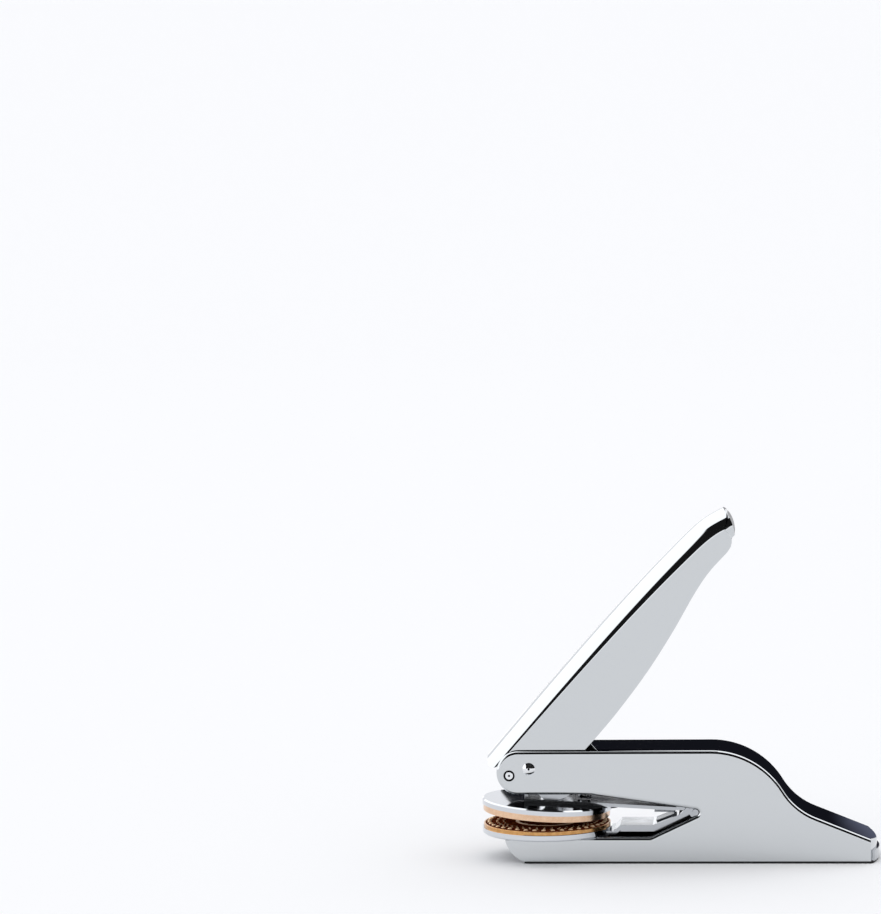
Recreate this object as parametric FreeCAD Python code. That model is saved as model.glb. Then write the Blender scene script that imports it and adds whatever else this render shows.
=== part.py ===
import FreeCAD, Part
import math
import os

os.makedirs("parts", exist_ok=True)
Vec = FreeCAD.Vector

# Frame: X runs from the nose to the tail, Y across, Z up. The origin is on the desk
# under the axis of the dies. Millimetres and degrees.

# Fits
running_fit = 0.05        # radial play of a pin in its hole, and play of parts that slide
seat_gap = 0.05           # play between parts that are fastened together
moving_gap = 0.3          # least play between parts that move past each other
past = 1.0                # how far a cutting form runs past the face it cuts
well_past = 20.0
far = 200.0               # beyond the whole object
tiny = 0.01               # tolerance for finding edges

# Body shell: side plates and roof folded from one sheet
body_width = 30.0
shell_sheet = 1.5
edge_round = 1.2          # polished edges all round the side plates
top_z = 43.4
nose_x = -9.9             # centre of the round nose
nose_radius = 8.4
crown_start_x = 63.5      # where the flat roof starts to fall
crown_radius = 32.0
crown_fall = 59.0         # steepest slope of the tail
dip_radius = 25.0
tail_slope = 22.0
tail_x = 126.5            # rearmost point of the rear wall
tail_bulge_radius = 41.5  # the rear wall is an arc in plan
foot_front_x = -8.5       # front of the base, at the desk
foot_bulge = (-12.9, 4.2)
rail_front_x = -15.5
rail_top_z = 10.15        # top edges of the side plates under the lower die holder

# Throat: the wedge between the rails and the nose that takes the die insert
throat_tip_radius = 1.25
throat_low_corner_x = 40.3
throat_high_corner_x = 18.0

# Roof slot and the two slits for the lever's cheeks
slot_rear_x = 15.3
slit_rear_x = 41.5
slot_lip = 0.6            # lip left inside each side plate
tongue_half_width = 10.95

# Base
pad_thickness = 0.9
pad_inset = 0.35
pan_sheet = 1.0
pan_lip_height = 4.0
pan_lip_sheet = 0.8
anvil_sheet = 2.5
anvil_front_x = -13.3
anvil_rear_x = 24.0
anvil_edge_round = 0.8
anvil_foot_inset = 0.8    # its front stays behind the curved foot

# Pins of the body
pivot_x = -5.8
pivot_z = 36.6
pivot_radius = 2.0
pivot_head_radius = 2.4
pivot_head_height = 1.0
tie_x = -13.4
tie_z = 34.0
tie_radius = 2.1
tie_groove = (1.4, 1.95)  # inner and outer radius of the groove turned in each end
tie_groove_depth = 0.45
tie_dimple_radius = 0.4
tie_dimple_depth = 0.25
spacer_radius = 2.75

# Lever: a pressed channel, in its own frame with the pivot at the origin,
# u along the lever and v square to it
lever_angle = 44.8        # from the desk, when open
lever_stroke = 26.0
lever_sheet = 1.2
lever_side_play = 1.0     # between each cheek and its side plate
lever_dome_radius = 20.0  # the crown is domed across
lever_front_corner = 2.0  # its corners are tight at the front and soft at the tip
lever_tip_corner = 6.0
lever_crown_start = -9.4
lever_crown_end = 122.6
lever_crown_rise = [(-16.0, 13.8), (31.0, 17.3), (70.0, 19.5)]
lever_crown_fall = [(22.6, 20.1), (8.6, 19.4), (-3.0, 16.5)]   # counted back from its end
lever_crown_front = (lever_crown_start, 14.3)
lever_crown_tip = (lever_crown_end, 17.6)
lever_form_count = 9         # the form is drawn in this many lengths
lever_knuckle = (-10.9, 11.9)
lever_front_x = -19.9
lever_boss_radius = 5.1
lever_heel = (19.0, -10.2)
lever_belly = [(27.5, -9.8), (40.0, -8.7), (58.7, -6.0), (76.2, -2.2), (93.0, 2.3), (102.2, 4.0)]
lever_lip_end = (lever_crown_end - 10.3, 4.4)
lever_tip_bend = (lever_crown_end - 6.5, 5.7)
lever_tip_low = (lever_crown_end - 4.6, 8.2)
lever_tip_plan_radius = 5.0
washer_radius = 4.4
lever_reach = 30.0        # how far cutting forms stand above and below the lever
end_cap_depth = 7.6
end_cap_sheet = 0.8
end_cap_low = 6.9
end_cap_setback = 3.8     # its lower edge lies this far behind the end of the crown
end_cap_bulge = (1.0, 11.2)
cam_rivet_radius = 1.5
cam_rivet_places = [(4.6, -4.6), (9.4, -3.4)]
cam_boss_radius = 5.0
cam_overrun = 4.0         # degrees of cam face past each end of the stroke
cam_flank = 1.2
cam_shoulder_z = 0.5

# Die insert
open_angle = 3.4          # the upper jaw's opening at rest
jaw_pin_x = 57.5
jaw_pin_radius = 1.2
jaw_width = 18.0
jaw_sheet = 1.3
jaw_ear_radius = 2.9
upper_jaw_front_x = -8.2
upper_jaw_lip = 1.8
lower_jaw_front_x = -7.0
lower_jaw_channel_gap = 3.6   # from the rim of the holders to the raised channel
lower_jaw_ramp_x = 41.0
lower_jaw_top_z = 13.9
lower_jaw_flange_z = 11.4
lower_jaw_web_end = (51.0, 17.7)
joggle_run = 1.0          # the strip steps up at 45 degrees
upper_jaw_narrow_x = 50.0
upper_jaw_web_end = 54.0
die_diameter = 49.0
holder_overhang = 0.5     # the holders stand out past the dies
lower_holder_height = 2.3
lower_die_height = 1.45
closed_die_gap = 0.35
upper_die_height = 2.5
upper_holder_height = 2.2
holder_edge = 0.5
spigot_inset = 3.5
spigot_height = 0.5
backing_front_x = -12.0
backing_overhang = 3.5    # the backing strip's round end shows behind the holder
backing_sheet = 0.9
die_rivet_radius = 1.6
die_rivet_head_radius = 2.6
die_rivet_head_height = 0.5
die_rivet_inset = 10.0
die_rivet_y = 5.5
lower_rivet_cover = 0.75  # metal left between a rivet and the face of its die
upper_rivet_cover = 1.2
bead_count = 40
bead_inset = 2.1
bead_radius = 0.85
bead_height = 0.42
bead_taper = 0.55
bead_sides = 6
groove_play = 0.2
ring_inset = 4.9
ring_width = 0.7
ring_height = 0.35
jaw_pin_inset = 0.6       # its ends stay below the side plates
collar_radius = 2.4
spring_sheet = 0.45
spring_bend = (48.6, 17.77)
spring_bend_radius = 0.85
spring_arm = 7.0
spring_arm_rise = 0.6
spring_half_width = 4.5

# Sizes that follow from those above
half_width = body_width / 2
inner_half = half_width - shell_sheet
shell_bottom_z = pad_thickness
pan_top_z = shell_bottom_z + pan_sheet
nose_z = top_z - nose_radius
throat_top_z = nose_z - nose_radius
lever_half = inner_half - lever_side_play
slot_half = inner_half - slot_lip
insert_bottom_z = rail_top_z + running_fit
lower_holder_top = insert_bottom_z + lower_holder_height
lower_die_top = lower_holder_top + lower_die_height
upper_die_bottom = lower_die_top + closed_die_gap
upper_die_top = upper_die_bottom + upper_die_height
upper_holder_top = upper_die_top + upper_holder_height
jaw_top_z = upper_holder_top + jaw_sheet
jaw_pin_z = (upper_holder_top + jaw_top_z) / 2
jaw_half = jaw_width / 2
die_radius = die_diameter / 2
holder_radius = die_radius + holder_overhang
spigot_radius = die_radius - spigot_inset
bead_circle_radius = die_radius - bead_inset
ring_radius = die_radius - ring_inset
die_rivet_x = die_radius - die_rivet_inset
backing_rear_x = holder_radius + backing_overhang
lower_jaw_channel_x = holder_radius + lower_jaw_channel_gap
lower_rivet_top = lower_die_top - lower_rivet_cover
upper_rivet_bottom = upper_die_bottom + upper_rivet_cover
stop_z = tie_z + spacer_radius + moving_gap
ratio = open_angle / lever_stroke


def p(x, z, y=0.0):
    return Vec(x, y, z)


def line(a, b):
    return Part.LineSegment(p(*a), p(*b)).toShape()


def arc(a, b, c):
    return Part.Arc(p(*a), p(*b), p(*c)).toShape()


def on_circle(centre, radius, degrees):
    turn = math.radians(degrees)
    return (centre[0] + radius * math.cos(turn), centre[1] + radius * math.sin(turn))


def arc_about(centre, radius, start, end):
    return arc(on_circle(centre, radius, start), on_circle(centre, radius, (start + end) / 2),
               on_circle(centre, radius, end))


def prism(edges, half):
    face = Part.Face(Part.Wire(edges))
    face.translate(Vec(0, -half, 0))
    return face.extrude(Vec(0, 2 * half, 0))


def polygon(points, half):
    return prism([line(a, b) for a, b in zip(points, points[1:] + points[:1])], half)


def box(x0, x1, y0, y1, z0, z1):
    return Part.makeBox(x1 - x0, y1 - y0, z1 - z0, Vec(x0, y0, z0))


def rod(x, z, radius, y0, y1):
    return Part.makeCylinder(radius, y1 - y0, Vec(x, y0, z), Vec(0, 1, 0))


def disc(radius, z0, z1, x=0.0, y=0.0):
    return Part.makeCylinder(radius, z1 - z0, Vec(x, y, z0))


def save(name, shape):
    shape.exportStep("parts/" + name + ".step")


# ---- Body shell

def tangent_from(point, centre, radius, side):
    """Point where a line from point touches a circle, on its left (1) or right (-1)."""
    dx = point[0] - centre[0]
    dz = point[1] - centre[1]
    bearing = math.degrees(math.atan2(dz, dx))
    spread = math.degrees(math.acos(radius / math.hypot(dx, dz)))
    return on_circle(centre, radius, bearing + side * spread)


def roof_line(inset, end_x):
    """Top of the nose, flat roof, crown, dip and tail, moved inwards by inset."""
    crown_centre = (crown_start_x, top_z - crown_radius)
    crown_end = 90 - crown_fall
    crown_foot = on_circle(crown_centre, crown_radius, crown_end)
    dip_centre = (crown_foot[0] + dip_radius * math.cos(math.radians(crown_end)),
                  crown_foot[1] + dip_radius * math.sin(math.radians(crown_end)))
    dip_start = 180 + crown_end
    dip_end = 270 - tail_slope
    low = on_circle(dip_centre, dip_radius + inset, dip_end)
    fall = (end_x - low[0]) * math.tan(math.radians(tail_slope))
    return [
        line((nose_x, top_z - inset), (crown_start_x, top_z - inset)),
        arc_about(crown_centre, crown_radius - inset, 90, crown_end),
        arc_about(dip_centre, dip_radius + inset, dip_start, dip_end),
        line(low, (end_x, low[1] - fall)),
    ]


def plate_outline():
    """Side view of the body, with its nose, throat, rails and foot."""
    tip = (jaw_pin_x, jaw_pin_z)
    low_corner = (throat_low_corner_x, rail_top_z)
    high_corner = (throat_high_corner_x, throat_top_z)
    low_touch = tangent_from(low_corner, tip, throat_tip_radius, 1)
    high_touch = tangent_from(high_corner, tip, throat_tip_radius, -1)
    tip_end = (tip[0] + throat_tip_radius, tip[1])
    nose = (nose_x, nose_z)
    end_x = tail_x + past
    roof = roof_line(0, end_x)
    tail = roof[-1].Vertexes[-1].Point
    return [
        arc((foot_front_x, shell_bottom_z), foot_bulge, (rail_front_x, rail_top_z)),
        line((rail_front_x, rail_top_z), low_corner),
        line(low_corner, low_touch),
        arc(low_touch, tip_end, high_touch),
        line(high_touch, high_corner),
        line(high_corner, (nose_x, throat_top_z)),
        arc_about(nose, nose_radius, 270, 90),
        *roof,
        line((tail.x, tail.z), (end_x, shell_bottom_z)),
        line((end_x, shell_bottom_z), (foot_front_x, shell_bottom_z)),
    ]


def tail_arc_block(inset, half, z0, z1):
    """Everything in front of the rear wall, which is an arc in plan."""
    radius = tail_bulge_radius
    centre_x = tail_x - radius
    wall = Part.makeCylinder(radius - inset, z1 - z0, Vec(centre_x, 0, z0))
    front = box(rail_front_x - well_past, centre_x, -half, half, z0, z1)
    slab = box(centre_x, tail_x + past, -half, half, z0, z1)
    return front.fuse(wall.common(slab)).removeSplitter()


def body_blank():
    blank = prism(plate_outline(), half_width)
    blank = blank.common(tail_arc_block(0, half_width + past, -past, top_z + past))
    edges = []
    for edge in blank.Edges:
        box_of = edge.BoundBox
        on_side = abs(abs(box_of.YMin) - half_width) < tiny and box_of.YLength < tiny
        at_bottom = box_of.ZMax < shell_bottom_z + tiny
        upright = box_of.XMin > foot_front_x and box_of.XLength < tiny
        foot = box_of.XMax < 0 and box_of.ZMin < foot_bulge[1]
        over_rear_wall = box_of.YLength > body_width - tiny and box_of.ZMin > pan_lip_height * 2
        if over_rear_wall or (on_side and not (at_bottom or upright or foot)):
            edges.append(edge)
    return blank.makeFillet(edge_round, edges)


def body_hollow():
    end_x = tail_x + past
    roof = roof_line(shell_sheet, end_x)
    tail = roof[-1].Vertexes[-1].Point
    edges = roof + [
        line((tail.x, tail.z), (end_x, -past)),
        line((end_x, -past), (nose_x, -past)),
        line((nose_x, -past), (nose_x, top_z - shell_sheet)),
    ]
    hollow = prism(edges, inner_half)
    hollow = hollow.common(tail_arc_block(shell_sheet, inner_half, -2, top_z))
    nose = rod(nose_x, nose_z, nose_radius - shell_sheet, -inner_half, inner_half)
    between_plates = box(nose_x - well_past, nose_x + past, -inner_half, inner_half, -past, nose_z)
    return hollow.fuse([nose, between_plates])


def body_shell():
    shell = body_blank().cut(body_hollow())
    slot = box(nose_x - well_past, slot_rear_x, -slot_half, slot_half, nose_z, top_z + past)
    cuts = [slot]
    for side in (-1, 1):
        near = min(side * tongue_half_width, side * slot_half)
        far = max(side * tongue_half_width, side * slot_half)
        cuts.append(box(slot_rear_x - past, slit_rear_x, near, far, nose_z, top_z + past))
    reach = half_width + past
    cuts.append(rod(pivot_x, pivot_z, pivot_radius + running_fit, -reach, reach))
    cuts.append(rod(tie_x, tie_z, tie_radius + running_fit, -reach, reach))
    rear_gap = pan_top_z + seat_gap
    cuts.append(box(tail_x - well_past, tail_x + past, -inner_half, inner_half, -past, rear_gap))
    return shell.cut(cuts)


def base_pan():
    """Floor between the side plates, turned up behind the rear wall."""
    half = inner_half - seat_gap
    floor = box(foot_front_x, tail_x + well_past, -half, half, shell_bottom_z, pan_top_z)
    outside = tail_x + seat_gap + pan_lip_sheet
    radius = tail_bulge_radius + seat_gap + pan_lip_sheet
    centre_x = outside - radius
    plan = Part.makeCylinder(radius, well_past, Vec(centre_x, 0, 0))
    front = box(foot_front_x - past, centre_x, -half, half, 0, well_past)
    floor = floor.common(plan.fuse(front))
    lip_top = shell_bottom_z + pan_lip_height
    lip = Part.makeCylinder(radius, lip_top - shell_bottom_z, Vec(centre_x, 0, shell_bottom_z))
    lip = lip.cut(Part.makeCylinder(radius - pan_lip_sheet, well_past, Vec(centre_x, 0, 0)))
    lip = lip.common(box(centre_x + well_past, outside + past, -half, half, 0, well_past))
    return floor.fuse(lip).removeSplitter()


def base_pad():
    """Rubber sheet glued under the base."""
    half = half_width - pad_inset
    pad = box(foot_front_x + pad_inset, tail_x + past, -half, half, 0, pad_thickness)
    radius = tail_bulge_radius
    centre_x = tail_x + pan_lip_sheet - pad_inset - radius
    plan = Part.makeCylinder(radius, well_past, Vec(centre_x, 0, -past))
    front = box(foot_front_x - past, centre_x, -half, half, -past, well_past)
    pad = pad.common(plan.fuse(front))
    upright = [e for e in pad.Edges if e.BoundBox.ZLength > pad_thickness / 2]
    return pad.makeFillet(1.0, upright)


def anvil_bridge():
    """Folded bridge between the side plates that takes the force of the dies."""
    half = inner_half - seat_gap
    outer = box(anvil_front_x, anvil_rear_x, -half, half, pan_top_z, rail_top_z)
    ridges = [e for e in outer.Edges if e.BoundBox.ZMin > rail_top_z - tiny
              and e.BoundBox.YLength < tiny]
    outer = outer.makeFillet(anvil_edge_round, ridges)
    inner = box(anvil_front_x - past, anvil_rear_x + past, -half + anvil_sheet, half - anvil_sheet,
                0, rail_top_z - anvil_sheet)
    back = anvil_foot_inset
    foot = prism([
        arc((foot_front_x + back, shell_bottom_z), (foot_bulge[0] + back, foot_bulge[1]),
            (rail_front_x + back, rail_top_z)),
        line((rail_front_x + back, rail_top_z), (anvil_rear_x, rail_top_z)),
        line((anvil_rear_x, rail_top_z), (anvil_rear_x, shell_bottom_z)),
        line((anvil_rear_x, shell_bottom_z), (foot_front_x + back, shell_bottom_z)),
    ], half)
    return outer.cut(inner).common(foot)


# ---- Pins of the body

def dome(x, z, y_face, side, radius, height):
    """Rivet head on the outer face of a plate; side is 1 or -1 along Y."""
    ball = (radius ** 2 + height ** 2) / (2 * height)
    sphere = Part.makeSphere(ball, Vec(x, y_face - side * (ball - height), z))
    low = min(y_face, y_face + side * (height + past))
    return sphere.common(rod(x, z, radius + past, low, low + height + past))


def pivot_pin():
    shank = rod(pivot_x, pivot_z, pivot_radius, -half_width, half_width)
    heads = [dome(pivot_x, pivot_z, side * half_width, side, pivot_head_radius, pivot_head_height)
             for side in (-1, 1)]
    return shank.fuse(heads).removeSplitter()


def tie_rivet():
    """Flush rivet, with a groove and a centre mark turned in each end."""
    rivet = rod(tie_x, tie_z, tie_radius, -half_width, half_width)
    inner, outer = tie_groove
    for side in (-1, 1):
        groove_end = side * (half_width - tie_groove_depth)
        dimple_end = side * (half_width - tie_dimple_depth)
        outside = side * (half_width + past)
        groove_span = sorted([groove_end, outside])
        groove = rod(tie_x, tie_z, outer, *groove_span)
        groove = groove.cut(rod(tie_x, tie_z, inner, *groove_span))
        dimple = rod(tie_x, tie_z, tie_dimple_radius, *sorted([dimple_end, outside]))
        rivet = rivet.cut([groove, dimple])
    return rivet


def tie_spacer():
    half = inner_half - seat_gap
    tube = rod(tie_x, tie_z, spacer_radius, -half, half)
    return tube.cut(rod(tie_x, tie_z, tie_radius + seat_gap, -half - past, half + past))


def pivot_washers():
    """One washer fills most of the gap between each cheek and its side plate."""
    washers = []
    for side in (-1, 1):
        near = side * (lever_half + running_fit)
        far = side * (inner_half - running_fit)
        low = min(near, far)
        high = max(near, far)
        ring = rod(pivot_x, pivot_z, washer_radius, low, high)
        washers.append(ring.cut(rod(pivot_x, pivot_z, pivot_radius + running_fit, low, high)))
    return Part.makeCompound(washers)


# ---- Lever, drawn in its own frame and then stood up at its pivot

def lever_place(shape):
    placed = shape.copy()
    placed.rotate(Vec(0, 0, 0), Vec(0, 1, 0), -lever_angle)
    placed.translate(Vec(pivot_x, 0, pivot_z))
    return placed


def to_lever(x, z):
    """World point in the side view, as the lever's own u and v."""
    turn = math.radians(lever_angle)
    dx = x - pivot_x
    dz = z - pivot_z
    return (dx * math.cos(turn) + dz * math.sin(turn), -dx * math.sin(turn) + dz * math.cos(turn))


def crown_stations():
    """Places along the lever, each with the crown's height and the radius of its corners."""
    fall = [(lever_crown_end - back, height) for back, height in lever_crown_fall]
    crown = Part.BSplineCurve()
    crown.interpolate([p(*point) for point in lever_crown_rise + fall])
    growth = (lever_tip_corner - lever_front_corner) / (lever_crown_end - lever_crown_start)
    stations = []
    for n in range(lever_form_count + 1):
        share = n / lever_form_count
        place = crown.value(crown.FirstParameter * (1 - share) + crown.LastParameter * share)
        corner = lever_front_corner + growth * (place.x - lever_crown_start)
        stations.append((place.x, place.z, corner))
    return stations


def lever_section(u, top, corner, inset):
    """Section of the lever's outside, or of its inside, carried on far below."""
    heart = top - lever_dome_radius
    bend_y = lever_half - corner
    bend_v = heart + math.sqrt((lever_dome_radius - corner) ** 2 - bend_y ** 2)
    turn = math.degrees(math.atan2(bend_v - heart, bend_y))
    half = lever_half - inset
    top_v = top - inset
    touch_y, touch_v = on_circle((bend_y, bend_v), corner - inset, turn)
    middle_y, middle_v = on_circle((bend_y, bend_v), corner - inset, turn / 2)
    low = -lever_reach
    return Part.Wire([
        line((u, low, -half), (u, low, half)),
        line((u, low, half), (u, bend_v, half)),
        arc((u, bend_v, half), (u, middle_v, middle_y), (u, touch_v, touch_y)),
        arc((u, touch_v, touch_y), (u, top_v, 0), (u, touch_v, -touch_y)),
        arc((u, touch_v, -touch_y), (u, middle_v, -middle_y), (u, bend_v, -half)),
        line((u, bend_v, -half), (u, low, -half)),
    ])


def lever_form(inset):
    """The lever's domed and tapered form, moved inwards by inset."""
    sections = [lever_section(*station, inset) for station in crown_stations()]
    return Part.makeLoft(sections, True, True)


def carried_on(a, b, height):
    """Point at this height on the line from a through b."""
    share = (height - a[1]) / (b[1] - a[1])
    return (a[0] + share * (b[0] - a[0]), height)


def lever_front():
    """Points of the lever's front end: where it rests on the stop, and its knuckle."""
    front = to_lever(lever_front_x, stop_z)
    drop = stop_z - pivot_z
    back = to_lever(pivot_x - math.sqrt(lever_boss_radius ** 2 - drop ** 2), stop_z)
    return front, back


def lever_outline():
    """Side view of the lever, left open over its crown."""
    boss = (0.0, 0.0)
    touch = tangent_from(lever_heel, boss, lever_boss_radius, -1)
    stop_front, stop_back = lever_front()
    start = math.degrees(math.atan2(stop_back[1], stop_back[0]))
    end = math.degrees(math.atan2(touch[1], touch[0])) + 360
    belly = Part.BSplineCurve()
    belly.interpolate([p(*point) for point in [lever_heel] + lever_belly + [lever_lip_end]])
    above_tip = carried_on(lever_tip_low, lever_crown_tip, lever_reach)
    above_front = carried_on(lever_knuckle, lever_crown_front, lever_reach)
    return [
        line(stop_front, stop_back),
        arc_about(boss, lever_boss_radius, start, end),
        line(touch, lever_heel),
        belly.toShape(),
        arc(lever_lip_end, lever_tip_bend, lever_tip_low),
        line(lever_tip_low, above_tip),
        line(above_tip, above_front),
        line(above_front, lever_knuckle),
        line(lever_knuckle, stop_front),
    ]


def lever_blank():
    blank = lever_form(0).common(prism(lever_outline(), lever_half + past))
    plan = box(-lever_reach, lever_crown_end + lever_sheet, -lever_half, lever_half,
               -lever_reach, lever_reach)
    tip = [e for e in plan.Edges if e.BoundBox.ZLength > lever_reach and e.BoundBox.XMin > 0]
    return blank.common(plan.makeFillet(lever_tip_plan_radius, tip))


def lever_front_wall():
    """Sheet kept at the lever's front end, following its outline."""
    stop_front, _ = lever_front()
    sheet = lever_sheet
    behind = -lever_reach
    low = stop_front[1] - 3 * sheet
    top = lever_crown_front[1] + sheet
    return polygon([
        (stop_front[0] + sheet, low),
        (stop_front[0] + sheet, stop_front[1]),
        (lever_knuckle[0] + sheet, lever_knuckle[1] - sheet / 3),
        (lever_crown_front[0] + sheet * 0.7, top),
        (behind, top),
        (behind, low),
    ], lever_half + past)


def lever():
    """Pressed channel, open below, with a cheek each side of the pivot."""
    room = lever_form(lever_sheet).cut(lever_front_wall())
    reach = lever_half + past
    cuts = [room, rod(0, 0, pivot_radius + running_fit, -reach, reach)]
    cuts += [rod(u, v, cam_rivet_radius + seat_gap, -reach, reach) for u, v in cam_rivet_places]
    return lever_place(lever_blank().cut(cuts))


def lever_end_cap():
    """Pressed cap that closes the tip of the channel."""
    start = lever_crown_end - end_cap_depth
    front = lever_crown_end - end_cap_setback
    bend = (lever_crown_end - end_cap_bulge[0], end_cap_bulge[1])
    above = (lever_crown_end, lever_reach)
    inset = lever_sheet + seat_gap
    bulge = prism([
        line((start, end_cap_low), (front, end_cap_low)),
        arc((front, end_cap_low), bend, lever_crown_tip),
        line(lever_crown_tip, above),
        line(above, (start, lever_reach)),
        line((start, lever_reach), (start, end_cap_low)),
    ], lever_half)
    hollow = bulge.copy()
    hollow.translate(Vec(-end_cap_sheet, 0, -end_cap_sheet))
    hollow = hollow.common(lever_form(inset + end_cap_sheet))
    return lever_place(lever_form(inset).common(bulge).cut(hollow))


def cam_rivets():
    """Two flush rivets through cheeks and cam."""
    rivets = [rod(u, v, cam_rivet_radius, -lever_half, lever_half) for u, v in cam_rivet_places]
    return lever_place(Part.makeCompound(rivets))


def jaw_face(turn):
    """Where the cam touches the upper jaw when the lever has turned this far, seen from
    the pivot and in the lever's rest position. Equal turns of the lever close the jaw by
    equal angles."""
    opening = math.radians(open_angle - ratio * turn)
    reach_x = pivot_x - jaw_pin_x
    reach_z = pivot_z - jaw_pin_z
    distance = reach_z * math.cos(opening) + reach_x * math.sin(opening)
    distance -= jaw_top_z - jaw_pin_z + running_fit
    along = (reach_z * math.sin(opening) - reach_x * math.cos(opening)) * ratio / (1 + ratio)
    bearing = math.radians(turn - 90) - opening
    u = distance * math.cos(bearing) - along * math.sin(bearing)
    v = distance * math.sin(bearing) + along * math.cos(bearing)
    return (u, v)


def cam_block():
    """Steel cam between the cheeks."""
    steps = 5
    first = -cam_overrun
    last = lever_stroke + cam_overrun
    face = [jaw_face(first + (last - first) * n / steps) for n in range(steps + 1)]
    curve = Part.BSplineCurve()
    curve.interpolate([p(*point) for point in face])
    boss = (0.0, 0.0)
    left = tangent_from(face[0], boss, cam_boss_radius, -1)
    flank = (face[-1][0] + cam_flank, face[-1][1] + cam_flank)
    shoulder = (face[-1][0], cam_shoulder_z)
    right = tangent_from(shoulder, boss, cam_boss_radius, 1)
    start = math.degrees(math.atan2(right[1], right[0]))
    end = math.degrees(math.atan2(left[1], left[0])) % 360
    half = lever_half - lever_sheet - seat_gap
    cam = prism([
        curve.toShape(),
        line(face[-1], flank),
        line(flank, shoulder),
        line(shoulder, right),
        arc_about(boss, cam_boss_radius, start, end),
        line(left, face[0]),
    ], half)
    cam.translate(Vec(pivot_x, 0, pivot_z))
    bore = rod(pivot_x, pivot_z, pivot_radius + running_fit, -half - past, half + past)
    holes = [lever_place(rod(u, v, cam_rivet_radius + seat_gap, -half - past, half + past))
             for u, v in cam_rivet_places]
    return cam.cut([bore] + holes)


# ---- Die insert. The upper jaw is drawn closed and then opened about its pin.

def open_jaw(shape):
    opened = shape.copy()
    opened.rotate(Vec(jaw_pin_x, 0, jaw_pin_z), Vec(0, 1, 0), open_angle)
    return opened


def side_bands(outer, inner):
    """Two slabs, one each side, between inner and outer along Y."""
    tall = box(-far, far, -outer, outer, -far, far)
    return tall.cut(box(-far, far, -inner, inner, -far, far))


def ear_outline(near_low, near_high):
    """Ear round the jaw pin, run out to two points of the jaw."""
    pin = (jaw_pin_x, jaw_pin_z)
    low = tangent_from(near_low, pin, jaw_ear_radius, 1)
    high = tangent_from(near_high, pin, jaw_ear_radius, -1)
    start = math.degrees(math.atan2(low[1] - pin[1], low[0] - pin[0]))
    end = math.degrees(math.atan2(high[1] - pin[1], high[0] - pin[0]))
    while end < start:
        end += 360
    return [line(near_low, low), arc_about(pin, jaw_ear_radius, start, end), line(high, near_high)]


def lower_jaw():
    """Strip under the lower die, joggled up into a channel that carries the pin."""
    bottom = insert_bottom_z
    top = bottom + jaw_sheet
    rise = lower_jaw_top_z - top
    step_x = lower_jaw_channel_x - rise * joggle_run
    web_top = [(lower_jaw_front_x, top), (step_x, top), (lower_jaw_channel_x, lower_jaw_top_z),
               (lower_jaw_ramp_x, lower_jaw_top_z), lower_jaw_web_end]
    shift = jaw_sheet * joggle_run / 2
    web_low = [(lower_jaw_web_end[0] + shift, lower_jaw_web_end[1] - jaw_sheet),
               (lower_jaw_ramp_x + shift / 2, lower_jaw_top_z - jaw_sheet),
               (lower_jaw_channel_x + shift, lower_jaw_top_z - jaw_sheet),
               (step_x + shift, bottom), (lower_jaw_front_x, bottom)]
    web = polygon(web_top + web_low, jaw_half)
    ramp_low = (lower_jaw_ramp_x + shift, lower_jaw_flange_z)
    channel_low = (lower_jaw_channel_x, lower_jaw_flange_z)
    cheek = ear_outline(ramp_low, lower_jaw_web_end) + [
        line(lower_jaw_web_end, (lower_jaw_ramp_x, lower_jaw_top_z)),
        line((lower_jaw_ramp_x, lower_jaw_top_z), (lower_jaw_channel_x, lower_jaw_top_z)),
        line((lower_jaw_channel_x, lower_jaw_top_z), channel_low),
        line(channel_low, ramp_low),
    ]
    cheeks = prism(cheek, jaw_half).common(side_bands(jaw_half, jaw_half - jaw_sheet))
    jaw = web.fuse(cheeks).removeSplitter()
    pin = rod(jaw_pin_x, jaw_pin_z, jaw_pin_radius + seat_gap, -jaw_half - past, jaw_half + past)
    rivet = disc(die_rivet_radius + seat_gap, bottom - past, top + past)
    return jaw.cut([pin, rivet])


def break_rim(shape, radius, height):
    """Breaks the outer edge of a disc at one height."""
    rim = [e for e in shape.Edges if abs(e.BoundBox.ZMin - height) < tiny
           and e.BoundBox.ZLength < tiny and e.BoundBox.YLength > 2 * radius - tiny]
    return shape.makeChamfer(holder_edge, rim)


def lower_holder():
    radius = holder_radius
    bottom = insert_bottom_z
    plate = break_rim(disc(radius, bottom, lower_holder_top), radius, bottom)
    pocket = disc(spigot_radius + seat_gap, lower_holder_top - spigot_height - seat_gap,
                  lower_holder_top + past)
    channel = box(lower_jaw_front_x - seat_gap, radius + past, -jaw_half - seat_gap,
                  jaw_half + seat_gap, bottom - past, bottom + jaw_sheet + seat_gap)
    rivet = disc(die_rivet_radius + seat_gap, bottom, lower_holder_top)
    return plate.cut([pocket, channel, rivet])


def ring(radius, width, z0, z1):
    return disc(radius + width / 2, z0, z1).cut(disc(radius - width / 2, z0 - past, z1 + past))


def lower_die():
    """Brass die with grooves that take the ring and beads of the upper die."""
    top = lower_die_top
    die = disc(die_radius, lower_holder_top, top)
    die = die.fuse(disc(spigot_radius, lower_holder_top - spigot_height, lower_holder_top))
    wide = 2 * groove_play
    cuts = [
        ring(ring_radius, ring_width + wide, top - ring_height, top + past),
        ring(bead_circle_radius, 2 * bead_radius + wide, top - bead_height, top + past),
        disc(die_rivet_radius + seat_gap, 0, lower_rivet_top + seat_gap),
    ]
    return die.removeSplitter().cut(cuts)


def lower_die_rivet():
    return disc(die_rivet_radius, insert_bottom_z, lower_rivet_top)


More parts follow.
